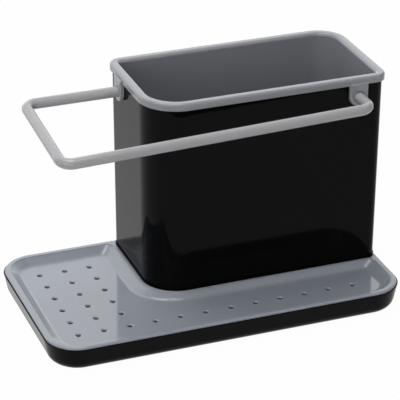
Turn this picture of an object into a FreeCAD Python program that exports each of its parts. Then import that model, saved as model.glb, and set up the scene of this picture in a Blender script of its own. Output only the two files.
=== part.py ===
import FreeCAD, Part
import math
import os
import re
import Sketcher

# Kitchen sink caddy: a black drip base, a grey drainer tray that drops into it, a black bin that
# stands on the tray's rear right corner, a grey liner that hangs in the bin by its collar, and a
# bent rail for a cloth that plugs into two lugs under the collar.
# The frame is +X along the tray, +Y to the rear and +Z up. The origin is the middle of the tray's
# outline, on the surface that the feet stand on. All lengths are in millimetres.

SIZES = {
    # drip base and its feet
    "foot_diameter": 14.0,
    "foot_proud": 0.5,
    "foot_recess": 1.0,
    "foot_fit": 0.1,
    "foot_inset": 22.0,
    "foot_edge_radius": 0.3,
    "base_height": 14.2,
    "base_proud": 0.7,
    "base_lean": 2.75,
    "base_wall": 1.8,
    "base_floor": 2.2,
    "base_edge_radius": 6.6,
    # drainer tray
    "tray_length": 209.7,
    "tray_width": 113.3,
    "tray_corner_radius": 18.6,
    "tray_fit": 1.0,
    "lip_height": 1.6,
    "lip_top_radius": 1.1,
    "lip_under_radius": 0.3,
    "rim_width": 3.4,
    "rim_rise": 0.5,
    "rim_ledge": 0.25,
    "rim_inner_radius": 0.45,
    "dish_depth": 4.1,
    "dish_slope": 5.2,
    "strip_slope": 2.0,
    "dish_floor": 1.8,
    "dish_wall": 1.2,
    "dish_cove_radius": 4.2,
    "dish_notch_radius": 4.5,
    "hole_diameter": 2.6,
    "hole_flare": 0.9,
    "hole_left_inset": 19.8,
    "hole_front_inset": 20.8,
    "hole_pitch_along": 15.0,
    "hole_pitch_across": 14.55,
    "hole_columns": 3,
    "hole_rows": 6,
    "front_holes": 9,
    "seat_margin": 2.6,
    "seat_gap": 1.3,
    "seat_drop": 0.5,
    # bin
    "bin_length": 137.45,
    "front_strip": 41.85,
    "bin_height": 112.35,
    "bin_lean": 0.8,
    "bin_setback": 0.7,
    "bin_front_left_radius": 20.5,
    "bin_front_right_radius": 5.2,
    "bin_rear_right_radius": 15.0,
    "bin_rear_left_radius": 5.2,
    "bin_wall": 2.0,
    "bin_floor": 2.0,
    "bead_height": 1.6,
    "bead_proud": 0.5,
    "plug_inset": 7.0,
    "plug_depth": 0.9,
    "plug_fit": 0.4,
    "plug_corner_radius": 6.0,
    "drain_diameter": 5.0,
    "drain_pitch": 20.0,
    "drain_columns": 5,
    "drain_rows": 2,
    # liner
    "liner_fit": 0.4,
    "liner_wall": 1.5,
    "liner_floor": 1.8,
    "liner_floor_gap": 0.8,
    "liner_floor_radius": 2.5,
    "collar_height": 4.2,
    "collar_overhang": 1.5,
    "collar_crown_radius": 1.4,
    "collar_inner_radius": 2.0,
    "lug_width": 11.0,
    "lug_thickness": 2.4,
    "lug_gap": 0.3,
    "lug_hole_drop": 6.95,
    "lug_rise": 1.35,
    "lug_edge_radius": 0.7,
    "lug_mouth": 0.5,
    "front_lug_inset": 16.2,
    "left_lug_inset": 19.85,
    # towel rail
    "rail_diameter": 6.2,
    "rail_fit": 0.1,
    "rail_end_gap": 0.4,
    "rail_front_reach": 19.7,
    "rail_left_reach": 57.55,
    "rail_bend_radius": 6.5,
    "rail_front_drop": 5.4,
    # one overrun for every cut that runs past a face
    "overrun": 2.0,
}

# How near two places count as the same when edges are looked for, and how far the bent rod's volume
# may be off, as a share of the straight rod's.
CLOSE = 1e-4
VOLUME_SHARE = 1e-3

# Places that several pieces share, worked out from the sizes above.
PLACES = {
    "tray_right": "tray_length / 2",
    "tray_rear": "tray_width / 2",
    "lip_under": "foot_proud + base_height",
    "rim_top": "lip_under + lip_height",
    "dish_top": "rim_top - dish_depth",
    "dish_under": "dish_top - dish_floor",
    "dish_edge": "rim_top - rim_rise",
    "lip_share": "(lip_height - rim_rise) / (dish_depth - rim_rise)",
    "dish_waist": "rim_ledge + dish_slope * lip_share",
    "strip_waist": "rim_ledge + strip_slope * lip_share",
    "base_top_side": "base_wall - base_proud",
    "base_side": "base_top_side + base_lean * (lip_under - dish_under) / base_height",
    "seat_top": "rim_top - seat_drop",
    "bin_right": "tray_right - bin_setback",
    "bin_rear": "tray_rear - bin_setback",
    "bin_left": "bin_right - bin_length",
    "bin_front": "front_strip - tray_rear",
    "bin_middle_x": "(bin_right + bin_left) / 2",
    "bin_middle_y": "(bin_rear + bin_front) / 2",
    "bin_top": "seat_top + bin_height",
    "plug_under": "seat_top - plug_depth",
    "liner_under": "seat_top + bin_floor + liner_floor_gap",
    "liner_side": "bin_wall + liner_fit",
    "collar_top": "bin_top + collar_height",
    "first_hole_x": "hole_left_inset - tray_right",
    "first_hole_y": "hole_front_inset - tray_rear",
    "front_lug_x": "bin_right - front_lug_inset",
    "left_lug_y": "bin_rear - left_lug_inset",
    "lug_hole_z": "bin_top - lug_hole_drop",
    "first_drain_x": "bin_middle_x - drain_pitch * (drain_columns - 1) / 2",
    "first_drain_y": "bin_middle_y - drain_pitch * (drain_rows - 1) / 2",
}

doc = FreeCAD.newDocument("sink_caddy")
sheet = doc.addObject("Spreadsheet::Sheet", "Sizes")
for row, (alias, number) in enumerate(SIZES.items(), start=1):
    sheet.set(f"A{row}", alias)
    sheet.set(f"B{row}", str(number))
    sheet.setAlias(f"B{row}", alias)
doc.recompute()


def formula(text):
    """An expression on the sheet's cells, from words that are sizes or places."""
    def cell(match):
        word = match.group(0)
        if word in PLACES:
            return "(" + formula(PLACES[word]) + ")"
        return "Sizes." + word
    return re.sub(r"[a-z]\w*", cell, text)


def value(text):
    """The number that an expression on the sheet gives now."""
    return float(sheet.evalExpression(formula(text)))


def bind(target, name, text):
    target.setExpression(name, formula(text))


def new_body(label):
    body = doc.addObject("PartDesign::Body", label)
    body.Label = label
    body.Placement = FreeCAD.Placement()
    return body


def origin_feature(body, role):
    return next(item for item in body.Origin.OriginFeatures if item.Role == role)


def new_sketch(body, name, role, along="0", up="0", out="0"):
    """A sketch on an origin plane, with its own origin moved along, up and out of that plane."""
    sketch = body.newObject("Sketcher::SketchObject", name)
    sketch.AttachmentSupport = (origin_feature(body, role), [""])
    sketch.MapMode = "FlatFace"
    for axis, text in zip("xyz", (along, up, out)):
        bind(sketch, f"AttachmentOffset.Base.{axis}", text)
    return sketch


def constrain(sketch, name, text, *constraint):
    """A named dimension of a sketch, bound to an expression on the sheet."""
    index = sketch.addConstraint(Sketcher.Constraint(*constraint, value(text)))
    sketch.renameConstraint(index, name)
    bind(sketch, f"Constraints.{name}", text)


def outline(body, name, level, sides, radii):
    """A closed outline at a level, of straight sides along X or Y joined by tangent corner arcs.

    sides holds ("x", place) or ("y", place) in turn, anticlockwise. Corner n lies before side n."""
    sketch = new_sketch(body, name, "XY_Plane", out=level)
    count = len(sides)
    places = [value(text) for axis, text in sides]
    corners = []
    for n, (axis, text) in enumerate(sides):
        corner = (places[n - 1], places[n]) if axis == "y" else (places[n], places[n - 1])
        corners.append(FreeCAD.Vector(*corner, 0))
    ways = [(corners[(n + 1) % count] - corners[n]).normalize() for n in range(count)]
    bends = [value(text) for text in radii]
    for n in range(count):
        start = corners[n] + ways[n] * bends[n]
        end = corners[(n + 1) % count] - ways[n] * bends[(n + 1) % count]
        sketch.addGeometry(Part.LineSegment(start, end))
    for n in range(count):
        before, after = ways[n - 1], ways[n]
        centre = corners[n] + (after - before) * bends[n]
        circle = Part.Circle(centre, FreeCAD.Vector(0, 0, 1), bends[n])
        left_turn = before.cross(after).z > 0
        first, last = (-after, before) if left_turn else (before, -after)
        angles = [math.atan2(way.y, way.x) for way in (first, last)]
        sketch.addGeometry(Part.ArcOfCircle(circle, *angles))
        arc_start, arc_end = (1, 2) if left_turn else (2, 1)
        sketch.addConstraint(Sketcher.Constraint("Tangent", (n - 1) % count, 2, count + n, arc_start))
        sketch.addConstraint(Sketcher.Constraint("Tangent", n, 1, count + n, arc_end))
    for n, (axis, text) in enumerate(sides):
        level_or_plumb = "Horizontal" if axis == "y" else "Vertical"
        sketch.addConstraint(Sketcher.Constraint(level_or_plumb, n))
        constrain(sketch, f"side{n}", text, "Distance" + axis.upper(), -1, 1, n, 1)
        constrain(sketch, f"bend{n}", radii[n], "Radius", count + n)
    return sketch


def tray_outline(body, name, level, inset):
    """The tray's rounded outline, drawn in by an inset."""
    sides = [("y", f"{inset} - tray_rear"), ("x", f"tray_right - ({inset})"),
             ("y", f"tray_rear - ({inset})"), ("x", f"{inset} - tray_right")]
    return outline(body, name, level, sides, [f"tray_corner_radius - ({inset})"] * len(sides))


def bin_outline(body, name, level, inset, radii=None):
    """The outline of the bin's foot, drawn in by an inset. Each of its corners has its own radius."""
    sides = [("y", f"bin_front + ({inset})"), ("x", f"bin_right - ({inset})"),
             ("y", f"bin_rear - ({inset})"), ("x", f"bin_left + ({inset})")]
    corners = [f"bin_{corner}_radius - ({inset})"
               for corner in ("front_left", "front_right", "rear_right", "rear_left")]
    return outline(body, name, level, sides, radii or corners)


def wall_outline(body, name, level, inset):
    """The outline of the bin's leaning wall at a level, drawn in by an inset."""
    return bin_outline(body, name, level, f"{inset} - bin_lean * ({level} - seat_top) / bin_height")


def dish_outline(body, name, level, outer, front, left, notch):
    """The L of the dish: outer is its inset from the tray's edge, and front and left are how far it
    stays from the bin's front and left sides."""
    sides = [("y", f"{outer} - tray_rear"), ("x", f"tray_right - ({outer})"),
             ("y", f"bin_front - ({front})"), ("x", f"bin_left - ({left})"),
             ("y", f"tray_rear - ({outer})"), ("x", f"{outer} - tray_right")]
    outer_bend = f"tray_corner_radius - ({outer})"
    inner_bend = f"bin_front_left_radius + ({front})"
    radii = [outer_bend, outer_bend, notch, inner_bend, notch, outer_bend]
    return outline(body, name, level, sides, radii)


def circles(body, name, role, diameter, centres, along="0", up="0", out="0"):
    """A sketch of equal circles at centres given as pairs of expressions."""
    sketch = new_sketch(body, name, role, along, up, out)
    for n, (across, height) in enumerate(centres):
        centre = FreeCAD.Vector(value(across), value(height), 0)
        sketch.addGeometry(Part.Circle(centre, FreeCAD.Vector(0, 0, 1), value(diameter) / 2))
        if across == height == "0":
            sketch.addConstraint(Sketcher.Constraint("Coincident", n, 3, -1, 1))
        else:
            constrain(sketch, f"across{n}", across, "DistanceX", -1, 1, n, 3)
            constrain(sketch, f"height{n}", height, "DistanceY", -1, 1, n, 3)
        constrain(sketch, f"wide{n}", diameter, "Diameter", n)
    return sketch


def feature(body, kind, name, sketch, length, backwards=False):
    """A pad or pocket of a sketch, whose effect on the body's volume is tested."""
    doc.recompute()
    before = body.Shape.Volume if body.Tip else 0.0
    made = body.newObject("PartDesign::" + kind, name)
    made.Profile = sketch
    made.Reversed = backwards
    bind(made, "Length", length)
    doc.recompute()
    grows = kind == "Pad"
    if (made.Shape.Volume > before) != grows or made.Shape.Volume == before:
        raise RuntimeError(f"{name} has no effect on {body.Label}")
    return made


def loft(body, kind, name, upper, lower):
    """A loft with straight sides between two outlines, whose effect on the volume is tested."""
    doc.recompute()
    before = body.Shape.Volume if body.Tip else 0.0
    made = body.newObject(f"PartDesign::{kind}Loft", name)
    made.Profile = upper
    made.Sections = [lower]
    made.Ruled = True
    doc.recompute()
    grows = kind == "Additive"
    if (made.Shape.Volume > before) != grows or made.Shape.Volume == before:
        raise RuntimeError(f"{name} has no effect on {body.Label}")
    return made


def edges_where(made, test):
    return [f"Edge{n}" for n, edge in enumerate(made.Shape.Edges, start=1) if test(edge)]


def box_of(edge):
    """An edge's own box, from points along it."""
    box = FreeCAD.BoundBox()
    for point in edge.discretize(5):
        box.add(point)
    return box


def flat_at(edge, level):
    """Whether an edge lies all at one height."""
    box = box_of(edge)
    return abs(box.ZMin - level) < CLOSE and abs(box.ZMax - level) < CLOSE


def fillet(body, name, made, radius, test):
    names = edges_where(made, test)
    if not names:
        raise RuntimeError(f"{name} finds no edge on {body.Label}")
    rounded = body.newObject("PartDesign::Fillet", name)
    rounded.Base = (made, names)
    bind(rounded, "Radius", radius)
    doc.recompute()
    if not rounded.Shape.isValid():
        raise RuntimeError(f"{name} gives a faulty shape on {body.Label}")
    return rounded


def grid(body, name, original, along, columns, across=None, rows=None):
    """Repeats a cut along X, and along Y as well where rows are given."""
    pattern = body.newObject("PartDesign::LinearPattern", name)
    pattern.Originals = [original]
    pattern.Direction = (origin_feature(body, "X_Axis"), [""])
    bind(pattern, "Length", f"{along} * ({columns} - 1)")
    bind(pattern, "Occurrences", columns)
    if rows:
        pattern.Direction2 = (origin_feature(body, "Y_Axis"), [""])
        bind(pattern, "Length2", f"{across} * ({rows} - 1)")
        bind(pattern, "Occurrences2", rows)
    body.Tip = pattern
    doc.recompute()
    return pattern


def foot_centres():
    """The four feet, set in from the corners of the base, named by where they stand."""
    across, along = "(tray_right - foot_inset)", "(tray_rear - foot_inset)"
    return {
        "foot_front_left": (f"-{across}", f"-{along}"),
        "foot_front_right": (across, f"-{along}"),
        "foot_rear_left": (f"-{across}", along),
        "foot_rear_right": (across, along),
    }


def make_base_tray():
    """The shallow black drip base that catches what drains, with a recess under each corner."""
    body = new_body("base_tray")
    foot_edge = tray_outline(body, "foot_edge", "foot_proud", "base_lean - base_proud")
    top_edge = tray_outline(body, "top_edge", "lip_under", "-base_proud")
    shell = loft(body, "Additive", "shell", top_edge, foot_edge)
    under = value("foot_proud")
    fillet(body, "under_edge", shell, "base_edge_radius", lambda edge: flat_at(edge, under))
    mouth = tray_outline(body, "base_mouth", "lip_under", "base_top_side")
    pan = tray_outline(body, "pan", "foot_proud + base_floor",
                       "base_top_side + base_lean * (base_height - base_floor) / base_height")
    inside = loft(body, "Subtractive", "inside", mouth, pan)
    floor = value("foot_proud + base_floor")
    fillet(body, "inside_edge", inside, "base_edge_radius - base_wall",
           lambda edge: flat_at(edge, floor))
    marks = circles(body, "foot_marks", "XY_Plane", "foot_diameter + 2 * foot_fit",
                    foot_centres().values(), out="foot_proud")
    feature(body, "Pocket", "foot_recesses", marks, "foot_recess", backwards=True)
    return body


def make_foot(label, centre):
    """A soft round pad glued into its recess under the base, standing a little proud."""
    body = new_body(label)
    disc = circles(body, "disc_" + label, "XY_Plane", "foot_diameter", [centre])
    pad = feature(body, "Pad", "pad_" + label, disc, "foot_proud + foot_recess")
    fillet(body, "edge_" + label, pad, "foot_edge_radius", lambda edge: flat_at(edge, 0))
    return body


def make_drainer_tray():
    """The grey tray: a lip that lands on the base's wall, an L-shaped dish with drain holes, and a
    shallow flat seat for the bin, with an opening in it for the plug under the bin."""
    body = new_body("drainer_tray")
    feature(body, "Pad", "lip", tray_outline(body, "lip_edge", "lip_under", "0"), "lip_height")
    belly_edge = dish_outline(body, "belly_edge", "dish_under", "base_side + tray_fit",
                              "seat_margin + strip_waist - dish_wall",
                              "seat_margin + dish_waist - dish_wall",
                              "dish_notch_radius - dish_waist + dish_wall")
    feature(body, "Pad", "belly", belly_edge, "lip_under - dish_under")
    rim_edge = dish_outline(body, "rim_edge", "rim_top", "rim_width", "seat_margin",
                            "seat_margin", "dish_notch_radius")
    feature(body, "Pocket", "rim_step", rim_edge, "rim_rise")
    mouth = dish_outline(body, "mouth", "dish_edge", "rim_width + rim_ledge",
                         "seat_margin + rim_ledge", "seat_margin + rim_ledge",
                         "dish_notch_radius - rim_ledge")
    bottom = dish_outline(body, "bottom", "dish_top", "rim_width + rim_ledge + dish_slope",
                          "seat_margin + rim_ledge + strip_slope",
                          "seat_margin + rim_ledge + dish_slope",
                          "dish_notch_radius - rim_ledge")
    dish = loft(body, "Subtractive", "dish", mouth, bottom)

    levels = {name: value(name) for name in ("dish_top", "rim_top", "lip_under")}
    tray_box = dish.Shape.BoundBox

    def outermost(edge):
        box = box_of(edge)
        reach = [box.XMax, box.YMax, -box.XMin, -box.YMin]
        limits = [tray_box.XMax, tray_box.YMax, -tray_box.XMin, -tray_box.YMin]
        return any(abs(limit - far) < CLOSE for limit, far in zip(limits, reach))

    cove = fillet(body, "cove", dish, "dish_cove_radius",
                  lambda edge: flat_at(edge, levels["dish_top"]))
    brim = fillet(body, "brim", cove, "rim_inner_radius",
                  lambda edge: flat_at(edge, levels["rim_top"]) and not outermost(edge))
    lip_top = fillet(body, "lip_top", brim, "lip_top_radius",
                     lambda edge: flat_at(edge, levels["rim_top"]) and outermost(edge))
    fillet(body, "lip_underside", lip_top, "lip_under_radius",
           lambda edge: flat_at(edge, levels["lip_under"]) and outermost(edge))

    seat_sides = [("y", "bin_front - seat_gap"), ("x", "tray_right + overrun"),
                  ("y", "tray_rear + overrun"), ("x", "bin_left - seat_gap")]
    seat_bends = ["bin_front_left_radius + seat_gap"] + ["overrun / 2"] * 3
    seat_edge = outline(body, "seat_edge", "rim_top", seat_sides, seat_bends)
    feature(body, "Pocket", "seat", seat_edge, "seat_drop")
    opening_edge = bin_outline(body, "opening_edge", "seat_top", "plug_inset - plug_fit",
                               ["plug_corner_radius + plug_fit"] * 4)
    feature(body, "Pocket", "opening", opening_edge, "seat_top - lip_under + overrun")

    drain_cut(body, "grid_hole", "first_hole_x", "first_hole_y", "hole_flare")
    grid(body, "hole_grid", doc.getObject("grid_hole"), "hole_pitch_along", "hole_columns",
         "hole_pitch_across", "hole_rows")
    drain_cut(body, "front_hole", "first_hole_x + hole_pitch_along * hole_columns", "first_hole_y",
              "hole_flare")
    grid(body, "front_row", doc.getObject("front_hole"), "hole_pitch_along", "front_holes")
    return body


def drain_cut(body, name, hole_x, hole_y, flare):
    """One drain hole in the dish's floor, with a rounded mouth, turned about its own axis."""
    sketch = new_sketch(body, name + "_profile", "XZ_Plane", hole_x, "dish_top", f"-({hole_y})")
    radius, bell, depth, over = (value(text) for text in
                                 ("hole_diameter / 2", flare, "dish_floor", "overrun"))
    places = [(0, over), (radius + bell, over), (radius + bell, 0), (radius, -bell),
              (radius, -depth - over), (0, -depth - over)]
    points = [FreeCAD.Vector(across, height, 0) for across, height in places]
    for n in (0, 1):
        sketch.addGeometry(Part.LineSegment(points[n], points[n + 1]))
    middle = FreeCAD.Vector(radius + bell, -bell, 0)
    circle = Part.Circle(middle, FreeCAD.Vector(0, 0, 1), bell)
    sketch.addGeometry(Part.ArcOfCircle(circle, math.pi / 2, math.pi))
    for n in (3, 4):
        sketch.addGeometry(Part.LineSegment(points[n], points[n + 1]))
    sketch.addGeometry(Part.LineSegment(points[5], points[0]))
    top, side, mouth, bore, foot, axis = range(6)
    for join in ((top, 2, side, 1), (side, 2, mouth, 1), (bore, 2, foot, 1), (foot, 2, axis, 1),
                 (axis, 2, top, 1)):
        sketch.addConstraint(Sketcher.Constraint("Coincident", *join))
    sketch.addConstraint(Sketcher.Constraint("Tangent", mouth, 2, bore, 1))
    for line in (top, foot):
        sketch.addConstraint(Sketcher.Constraint("Horizontal", line))
    for line in (side, bore):
        sketch.addConstraint(Sketcher.Constraint("Vertical", line))
    sketch.addConstraint(Sketcher.Constraint("PointOnObject", axis, 1, -2))
    sketch.addConstraint(Sketcher.Constraint("PointOnObject", axis, 2, -2))
    sketch.addConstraint(Sketcher.Constraint("PointOnObject", side, 2, -1))
    sketch.addConstraint(Sketcher.Constraint("Vertical", side, 2, mouth, 3))
    constrain(sketch, "bell", flare, "Radius", mouth)
    constrain(sketch, "reach", "hole_diameter / 2", "DistanceX", -1, 1, bore, 1)
    constrain(sketch, "above", "overrun", "DistanceY", -1, 1, axis, 2)
    constrain(sketch, "below", "-(dish_floor + overrun)", "DistanceY", -1, 1, axis, 1)
    doc.recompute()
    before = body.Shape.Volume
    cut = body.newObject("PartDesign::Groove", name)
    cut.Profile = sketch
    cut.ReferenceAxis = (sketch, ["V_Axis"])
    doc.recompute()
    if cut.Shape.Volume >= before:
        raise RuntimeError(f"{name} cuts nothing")
    return cut


def make_bin():
    """The black bin: walls that lean out a little towards its top, a small bead round its foot, and
    a plug under its floor that drops into the tray's opening and drains into the base."""
    body = new_body("bin")
    loft(body, "Additive", "walls", wall_outline(body, "wall_top", "bin_top", "0"),
         wall_outline(body, "wall_foot", "seat_top", "0"))
    feature(body, "Pad", "bead", bin_outline(body, "bead_edge", "seat_top", "-bead_proud"),
            "bead_height")
    plug_edge = bin_outline(body, "plug_edge", "seat_top", "plug_inset", ["plug_corner_radius"] * 4)
    feature(body, "Pad", "plug", plug_edge, "plug_depth", backwards=True)
    loft(body, "Subtractive", "cavity", wall_outline(body, "cavity_top", "bin_top", "bin_wall"),
         wall_outline(body, "cavity_foot", "seat_top + bin_floor", "bin_wall"))
    sump_edge = bin_outline(body, "sump_edge", "seat_top + bin_floor", "plug_inset + bin_wall",
                            ["plug_corner_radius - bin_wall"] * 4)
    feature(body, "Pocket", "sump", sump_edge, "plug_depth")
    drain_grid(body, "bin_drain", "plug_under", "bin_floor")
    return body


def drain_grid(body, name, under, floor):
    """A grid of plain drain holes straight down through a floor."""
    mark = circles(body, name + "_mark", "XY_Plane", "drain_diameter",
                   [("first_drain_x", "first_drain_y")], out=f"{under} + {floor} + overrun")
    hole = feature(body, "Pocket", name, mark, f"{floor} + 2 * overrun")
    grid(body, name + "s", hole, "drain_pitch", "drain_columns", "drain_pitch", "drain_rows")


def lug_sketch(body, name, role, middle, out):
    """A lug's face: a round end about the rail's hole, with straight sides up into the collar."""
    sketch = new_sketch(body, name, role, middle, "lug_hole_z", out)
    radius, rise = value("lug_width / 2"), value("lug_hole_drop + lug_rise")
    corners = [(radius, 0), (radius, rise), (-radius, rise), (-radius, 0)]
    points = [FreeCAD.Vector(across, height, 0) for across, height in corners]
    for start, end in zip(points, points[1:]):
        sketch.addGeometry(Part.LineSegment(start, end))
    circle = Part.Circle(FreeCAD.Vector(0, 0, 0), FreeCAD.Vector(0, 0, 1), radius)
    sketch.addGeometry(Part.ArcOfCircle(circle, math.pi, 2 * math.pi))
    right, top, left, bowl = range(4)
    for join in ((right, 2, top, 1), (top, 2, left, 1), (bowl, 3, -1, 1)):
        sketch.addConstraint(Sketcher.Constraint("Coincident", *join))
    sketch.addConstraint(Sketcher.Constraint("Tangent", left, 2, bowl, 1))
    sketch.addConstraint(Sketcher.Constraint("Tangent", bowl, 2, right, 1))
    for line, way in ((right, "Vertical"), (left, "Vertical"), (top, "Horizontal")):
        sketch.addConstraint(Sketcher.Constraint(way, line))
    constrain(sketch, "bowl", "lug_width / 2", "Radius", bowl)
    constrain(sketch, "rise", "lug_hole_drop + lug_rise", "DistanceY", -1, 1, top, 1)
    return sketch


def make_liner():
    """The grey cup inside the bin. Its collar lands on the bin's top edge and overhangs it, and two
    lugs hang from the collar, one in front of the bin and one at its left."""
    body = new_body("liner")
    cup = loft(body, "Additive", "cup", wall_outline(body, "cup_top", "bin_top", "liner_side"),
               wall_outline(body, "cup_base", "liner_under", "liner_side"))
    under = value("liner_under")
    fillet(body, "cup_foot", cup, "liner_floor_radius", lambda edge: flat_at(edge, under))
    collar_edge = wall_outline(body, "collar_edge", "bin_top", "-collar_overhang")
    collar = feature(body, "Pad", "collar", collar_edge, "collar_height")
    top = value("collar_top")
    fillet(body, "crown", collar, "collar_crown_radius", lambda edge: flat_at(edge, top))
    hollow = loft(body, "Subtractive", "hollow",
                  wall_outline(body, "hollow_top", "collar_top", "liner_side + liner_wall"),
                  wall_outline(body, "hollow_base", "liner_under + liner_floor",
                               "liner_side + liner_wall"))
    floor = value("liner_under + liner_floor")
    inside = fillet(body, "cup_inside", hollow, "liner_floor_radius - liner_wall",
                    lambda edge: flat_at(edge, floor))
    low = [value("bin_left + liner_side"), value("bin_front + liner_side"), floor]
    high = [value("bin_right - liner_side"), value("bin_rear - liner_side"),
            value("collar_top + overrun")]
    mouth = FreeCAD.BoundBox(*low, *high)
    fillet(body, "mouth_edge", inside, "collar_inner_radius",
           lambda edge: flat_at(edge, top) and mouth.isInside(box_of(edge)))
    drain_grid(body, "liner_drain", "liner_under", "liner_floor")

    add_lug(body, "front", "XZ_Plane", "front_lug_x", "bin_lean - bin_front", "y",
            "bin_front - bin_lean")
    add_lug(body, "left", "YZ_Plane", "left_lug_y", "bin_left - bin_lean", "x", "bin_left - bin_lean")
    return body


def add_lug(body, side, role, middle, wall, axis, place):
    """One lug in front of a bin wall, with rounded outer edges and a bevelled bore.

    The plane's normal points away from the bin on one side and into it on the other."""
    outward = role == "XZ_Plane"
    way = "+" if outward else "-"
    face = lug_sketch(body, side + "_lug_face", role, middle, f"{wall} {way} lug_gap")
    lug = feature(body, "Pad", side + "_lug", face, "lug_thickness", backwards=not outward)
    far = value(f"{place} - lug_gap - lug_thickness")

    def on_face(edge):
        return all(abs(getattr(point, axis) - far) < CLOSE for point in edge.discretize(5))

    fillet(body, side + "_lug_edge", lug, "lug_edge_radius", on_face)
    mark = circles(body, side + "_bore_mark", role, "rail_diameter + 2 * rail_fit", [("0", "0")],
                   middle, "lug_hole_z", f"{wall} {way} (lug_gap + lug_thickness)")
    bore = feature(body, "Pocket", side + "_bore", mark, "lug_thickness + lug_gap",
                   backwards=not outward)
    bevel = body.newObject("PartDesign::Chamfer", side + "_bore_mouth")
    bore_radius = value("rail_diameter / 2 + rail_fit")
    rims = edges_where(bore, lambda edge: on_face(edge) and hasattr(edge.Curve, "Radius")
                       and abs(edge.Curve.Radius - bore_radius) < CLOSE)
    bevel.Base = (bore, rims)
    bind(bevel, "Size", "lug_mouth")
    doc.recompute()


def make_towel_rail():
    """The grey rod: one length bent at three corners, sagging a little along its front leg. Its ends
    go through the lugs and stop just short of the bin."""
    hole_z = value("lug_hole_z")
    front_x = value("front_lug_x")
    rear_y = value("left_lug_y")
    front_y = value("bin_front - rail_front_reach")
    left_x = value("bin_left - rail_left_reach")
    points = [
        FreeCAD.Vector(front_x, value("bin_front - bin_lean - rail_end_gap"), hole_z),
        FreeCAD.Vector(front_x, front_y, hole_z),
        FreeCAD.Vector(left_x, front_y, value("lug_hole_z - rail_front_drop")),
        FreeCAD.Vector(left_x, rear_y, hole_z),
        FreeCAD.Vector(value("bin_left - bin_lean - rail_end_gap"), rear_y, hole_z),
    ]
    bend = value("rail_bend_radius")
    edges = []
    start = points[0]
    for before, corner, after in zip(points, points[1:], points[2:]):
        back = (before - corner).normalize()
        ahead = (after - corner).normalize()
        half = back.getAngle(ahead) / 2
        run = bend / math.tan(half)
        inward = (back + ahead).normalize()
        crown = corner + inward * (bend / math.sin(half) - bend)
        arc_start, arc_end = corner + back * run, corner + ahead * run
        edges.append(Part.makeLine(start, arc_start))
        edges.append(Part.Arc(arc_start, crown, arc_end).toShape())
        start = arc_end
    edges.append(Part.makeLine(start, points[-1]))
    path = Part.Wire(edges)
    radius = value("rail_diameter / 2")
    first_way = (points[1] - points[0]).normalize()
    section = Part.Wire([Part.makeCircle(radius, points[0], first_way)])
    rod = path.makePipeShell([section], True, True)
    plain_volume = math.pi * radius ** 2 * path.Length
    if abs(rod.Volume / plain_volume - 1) > VOLUME_SHARE:
        raise RuntimeError("the rod's volume is not its section times its length")
    rail = doc.addObject("Part::Feature", "towel_rail")
    rail.Label = "towel_rail"
    rail.Shape = rod
    rail.Placement = FreeCAD.Placement()
    return rail


pieces = [make_base_tray()]
pieces += [make_foot(label, centre) for label, centre in foot_centres().items()]
pieces += [make_drainer_tray(), make_bin(), make_liner(), make_towel_rail()]
doc.recompute()

for item in doc.Objects:
    if "Invalid" in item.State or "Error" in item.State:
        raise RuntimeError(f"{item.Name} is in state {item.State}")
os.makedirs("parts", exist_ok=True)
for piece in pieces:
    shape = piece.Shape
    if shape.isNull() or not shape.isValid() or len(shape.Solids) != 1:
        raise RuntimeError(f"{piece.Label} is not one valid solid")
    shape.exportStep(os.path.join("parts", piece.Label + ".step"))
    box = shape.optimalBoundingBox()
    print(f"{piece.Label}: {shape.Volume:.0f} cubic mm, X {box.XMin:.2f} to {box.XMax:.2f}, "
          f"Y {box.YMin:.2f} to {box.YMax:.2f}, Z {box.ZMin:.2f} to {box.ZMax:.2f}")
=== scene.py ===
import bpy
import math
from mathutils import Matrix, Vector

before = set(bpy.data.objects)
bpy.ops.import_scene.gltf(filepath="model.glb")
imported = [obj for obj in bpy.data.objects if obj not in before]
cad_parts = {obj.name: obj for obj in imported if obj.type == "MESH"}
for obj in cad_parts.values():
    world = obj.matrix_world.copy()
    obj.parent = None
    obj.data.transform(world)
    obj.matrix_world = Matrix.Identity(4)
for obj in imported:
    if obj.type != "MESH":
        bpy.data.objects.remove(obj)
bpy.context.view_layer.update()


# FEET
# Four soft round pads under the corners of the drip base, die-cut from black rubber sheet and glued
# into shallow recesses so that they stand half a millimetre proud.
MM = 0.001
RUBBER_DARK, RUBBER_LIGHT = (0.018, 0.018, 0.019), (0.032, 0.032, 0.033)
RUBBER_ROUGHNESS = (0.7, 0.88)
RUBBER_GRAINS_PER_METRE, RUBBER_GRAIN_DETAIL, RUBBER_GRAIN_DEPTH = 2600, 3, 0.05 * MM
NOISE_MIDDLE_RANGE = (0.3, 0.7)


def new_material(name):
    """A material with an empty node tree, and its shader already joined to the output."""
    material = bpy.data.materials.new(name)
    material.use_nodes = True
    nodes, links = material.node_tree.nodes, material.node_tree.links
    nodes.clear()
    shader = nodes.new("ShaderNodeBsdfPrincipled")
    output = nodes.new("ShaderNodeOutputMaterial")
    links.new(shader.outputs["BSDF"], output.inputs["Surface"])
    return material, shader


def noise(material, per_metre, detail, roughness=0.5):
    """A noise pattern fixed to the piece, with so many features per metre."""
    nodes, links = material.node_tree.nodes, material.node_tree.links
    place = nodes.new("ShaderNodeTexCoord")
    pattern = nodes.new("ShaderNodeTexNoise")
    pattern.inputs["Scale"].default_value = per_metre
    pattern.inputs["Detail"].default_value = detail
    pattern.inputs["Roughness"].default_value = roughness
    links.new(place.outputs["Object"], pattern.inputs["Vector"])
    return pattern.outputs["Fac"]


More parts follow.
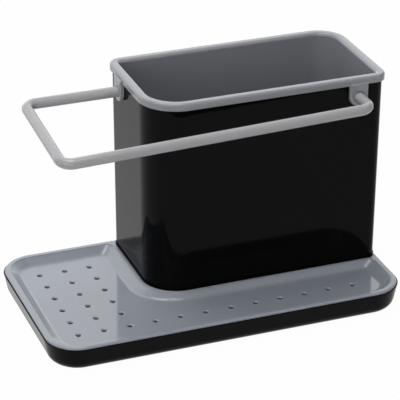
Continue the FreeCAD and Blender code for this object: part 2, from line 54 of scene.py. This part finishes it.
def vary_colour(material, shader, pattern, dark, light):
    """Lets the colour wander between two tones with a pattern."""
    nodes, links = material.node_tree.nodes, material.node_tree.links
    mix = nodes.new("ShaderNodeMix")
    mix.data_type = "RGBA"
    mix.inputs["A"].default_value = (*dark, 1)
    mix.inputs["B"].default_value = (*light, 1)
    links.new(pattern, mix.inputs["Factor"])
    links.new(mix.outputs["Result"], shader.inputs["Base Color"])


def vary_roughness(material, shader, pattern, low, high):
    """Spreads a pattern's middle range over the roughness from low to high."""
    nodes, links = material.node_tree.nodes, material.node_tree.links
    ramp = nodes.new("ShaderNodeMapRange")
    ramp.inputs["From Min"].default_value, ramp.inputs["From Max"].default_value = NOISE_MIDDLE_RANGE
    ramp.inputs["To Min"].default_value = low
    ramp.inputs["To Max"].default_value = high
    links.new(pattern, ramp.inputs["Value"])
    links.new(ramp.outputs["Result"], shader.inputs["Roughness"])


def add_relief(material, shader, pattern, depth):
    """Gives the surface fine relief, whose depth is in metres."""
    nodes, links = material.node_tree.nodes, material.node_tree.links
    bump = nodes.new("ShaderNodeBump")
    bump.inputs["Distance"].default_value = depth
    links.new(pattern, bump.inputs["Height"])
    links.new(bump.outputs["Normal"], shader.inputs["Normal"])


def dress(node, material):
    """Puts a material on a CAD node's object."""
    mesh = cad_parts[node].data
    mesh.materials.clear()
    mesh.materials.append(material)


pad_rubber, rubber_shader = new_material("pad_rubber")
grain = noise(pad_rubber, RUBBER_GRAINS_PER_METRE, RUBBER_GRAIN_DETAIL)
vary_colour(pad_rubber, rubber_shader, grain, RUBBER_DARK, RUBBER_LIGHT)
vary_roughness(pad_rubber, rubber_shader, grain, *RUBBER_ROUGHNESS)
add_relief(pad_rubber, rubber_shader, grain, RUBBER_GRAIN_DEPTH)
for corner in ("front_left", "front_right", "rear_left", "rear_right"):
    dress("foot_" + corner, pad_rubber)


# DRIP BASE
# A shallow black dish with a well rounded lower edge, injection moulded in polished polystyrene. The
# grey tray drops into it.
FLOWS_PER_METRE, FLOW_DETAIL = 38, 2
SMEARS_PER_METRE, SMEAR_DETAIL, SMEAR_COARSENESS = 90, 5, 0.6
RIPPLES_PER_METRE, RIPPLE_DETAIL, RIPPLE_DEPTH = 420, 2, 0.004 * MM


def polished_plastic(name, dark, light, index, roughness):
    """Glossy moulded plastic: a faint flow in its colour, smears in its gloss and a slight ripple."""
    material, shader = new_material(name)
    flow = noise(material, FLOWS_PER_METRE, FLOW_DETAIL)
    smears = noise(material, SMEARS_PER_METRE, SMEAR_DETAIL, SMEAR_COARSENESS)
    ripple = noise(material, RIPPLES_PER_METRE, RIPPLE_DETAIL)
    vary_colour(material, shader, flow, dark, light)
    vary_roughness(material, shader, smears, *roughness)
    shader.inputs["IOR"].default_value = index
    add_relief(material, shader, ripple, RIPPLE_DEPTH)
    return material


# The black's index is below a real plastic's, because the photograph's black faces mirror very little.
BLACK_INDEX = 1.15
black_plastic = polished_plastic("black_plastic", dark=(0.0022, 0.0022, 0.0024),
                                 light=(0.0032, 0.0032, 0.0034), index=BLACK_INDEX,
                                 roughness=(0.05, 0.11))
dress("base_tray", black_plastic)


# DRAINER TRAY
# The grey tray, injection moulded in one piece: a lip that lands on the base, an L-shaped dish with
# drain holes, and a shallow seat for the bin. It lies loose in the base.
GREY_INDEX = 1.5
grey_plastic = polished_plastic("grey_plastic", dark=(0.374, 0.409, 0.464),
                                light=(0.398, 0.436, 0.494), index=GREY_INDEX,
                                roughness=(0.06, 0.11))
dress("drainer_tray", grey_plastic)


# BIN
# The tall black bin, injection moulded in the same polished plastic as the base, with walls that lean
# out a little. It stands loose in the tray's seat.
dress("bin", black_plastic)


# LINER
# The grey cup that hangs in the bin by its collar, injection moulded in one piece with the two lugs
# that carry the rail.
# The whole liner is painted a darker grey than the tray, as painted shade for the inside of the deep
# cup.
liner_grey_painted_shade = polished_plastic("liner_grey_painted_shade", dark=(0.344, 0.356, 0.386),
                                 light=(0.370, 0.382, 0.412), index=GREY_INDEX,
                                 roughness=(0.08, 0.14))
dress("liner", liner_grey_painted_shade)


# TOWEL RAIL
# One round rod of grey plastic with three bends. Its two ends are plugged into the liner's lugs, and
# it comes out only by flexing.
# The rod is painted a lighter grey than the tray, as painted light on the round rod.
rail_grey_painted_light = polished_plastic("rail_grey_painted_light", dark=(0.462, 0.463, 0.478),
                                light=(0.498, 0.499, 0.515), index=GREY_INDEX,
                                roughness=(0.12, 0.20))
dress("towel_rail", rail_grey_painted_light)


# STUDIO
# A plain white floor that runs on into a white surround, a wide bright screen behind the caddy, a soft
# box overhead, a soft fill from the front left, and the camera of the photograph.
WHITE = 1.0
SURROUND_LIGHT = 0.03
FLOOR_HALF, FLOOR_GREY, FLOOR_SEEN_SHARE = 3.0, 0.86, 0.98


def white_where_seen(tree, end, lit, seen, seen_share=1.0):
    """Ends a tree in one shader for rays that are seen or mirrored, and another for the rest."""
    nodes, links = tree.nodes, tree.links
    path = nodes.new("ShaderNodeLightPath")
    share = path.outputs["Is Camera Ray"]
    for kind in ("Is Glossy Ray", "Is Transmission Ray"):
        either = nodes.new("ShaderNodeMath")
        either.operation = "MAXIMUM"
        links.new(share, either.inputs[0])
        links.new(path.outputs[kind], either.inputs[1])
        share = either.outputs["Value"]
    scaled = nodes.new("ShaderNodeMath")
    scaled.operation = "MULTIPLY"
    links.new(share, scaled.inputs[0])
    scaled.inputs[1].default_value = seen_share
    choose = nodes.new("ShaderNodeMixShader")
    links.new(scaled.outputs["Value"], choose.inputs["Fac"])
    links.new(lit.outputs[0], choose.inputs[1])
    links.new(seen.outputs[0], choose.inputs[2])
    links.new(choose.outputs["Shader"], nodes.new(end).inputs["Surface"])


world = bpy.data.worlds.new("studio_surround")
bpy.context.scene.world = world
world.use_nodes = True
nodes = world.node_tree.nodes
nodes.clear()
white = nodes.new("ShaderNodeBackground")
white.inputs["Strength"].default_value = WHITE
soft = nodes.new("ShaderNodeBackground")
soft.inputs["Strength"].default_value = SURROUND_LIGHT
white_where_seen(world.node_tree, "ShaderNodeOutputWorld", soft, white)

floor_mesh = bpy.data.meshes.new("studio_floor")
floor_mesh.from_pydata([(-FLOOR_HALF, -FLOOR_HALF, 0), (FLOOR_HALF, -FLOOR_HALF, 0),
                        (FLOOR_HALF, FLOOR_HALF, 0), (-FLOOR_HALF, FLOOR_HALF, 0)], [], [(0, 1, 2, 3)])
floor = bpy.data.objects.new("studio_floor", floor_mesh)
bpy.context.scene.collection.objects.link(floor)
floor_white = bpy.data.materials.new("floor_white")
floor_white.use_nodes = True
nodes = floor_white.node_tree.nodes
nodes.clear()
matt = nodes.new("ShaderNodeBsdfDiffuse")
matt.inputs["Color"].default_value = (FLOOR_GREY, FLOOR_GREY, FLOOR_GREY, 1)
glow = nodes.new("ShaderNodeEmission")
glow.inputs["Strength"].default_value = WHITE
white_where_seen(floor_white.node_tree, "ShaderNodeOutputMaterial", matt, glow, FLOOR_SEEN_SHARE)
floor_mesh.materials.append(floor_white)


def soft_lamp(name, place, aim, width, height, watts):
    """A soft box, in metres, that points at a place and is not seen by the camera."""
    light = bpy.data.lights.new(name, "AREA")
    light.shape = "RECTANGLE"
    light.size = width
    light.size_y = height
    light.energy = watts
    lamp = bpy.data.objects.new(name, light)
    lamp.location = place
    lamp.rotation_mode = "QUATERNION"
    lamp.rotation_quaternion = (Vector(aim) - Vector(place)).to_track_quat("-Z", "Y")
    lamp.visible_camera = False
    bpy.context.scene.collection.objects.link(lamp)


soft_lamp("rear_screen", place=(0.2, 0.95, 1.1), aim=(0.2, 0, 1.1),
          width=3.0, height=2.1, watts=18.2)
soft_lamp("overhead_soft_box", place=(-0.15, -0.05, 1.05), aim=(0, 0, 0.05),
          width=0.8, height=0.5, watts=5.5)
soft_lamp("front_fill", place=(-0.8, -1.1, 0.4), aim=(0, 0, 0.1),
          width=1.4, height=0.7, watts=4.6)

# The camera was fitted to the photograph. Its frame is half a pixel off the middle each way.
FOCAL_PIXELS, FRAME_PIXELS, SENSOR_WIDTH, SHIFT_PIXELS = 2099.90, 400, 36.0, 0.5
AZIMUTH, ELEVATION, ROLL = math.radians(-20.943), math.radians(26.661), math.radians(0.298)
CAMERA_PLACE, NEAREST_SEEN = (-0.37948, -0.99168, 0.59640), 0.05
camera_data = bpy.data.cameras.new("photo_camera")
camera_data.sensor_width = SENSOR_WIDTH
camera_data.lens = SENSOR_WIDTH * FOCAL_PIXELS / FRAME_PIXELS
camera_data.shift_x = -SHIFT_PIXELS / FRAME_PIXELS
camera_data.shift_y = SHIFT_PIXELS / FRAME_PIXELS
camera_data.clip_start = NEAREST_SEEN
camera = bpy.data.objects.new("photo_camera", camera_data)
turn = Matrix.Rotation(AZIMUTH, 4, "Z") @ Matrix.Rotation(math.pi / 2 - ELEVATION, 4, "X")
camera.matrix_world = Matrix.Translation(CAMERA_PLACE) @ turn @ Matrix.Rotation(ROLL, 4, "Z")
bpy.context.scene.collection.objects.link(camera)
bpy.context.scene.camera = camera
bpy.context.scene.view_settings.view_transform = "Standard"
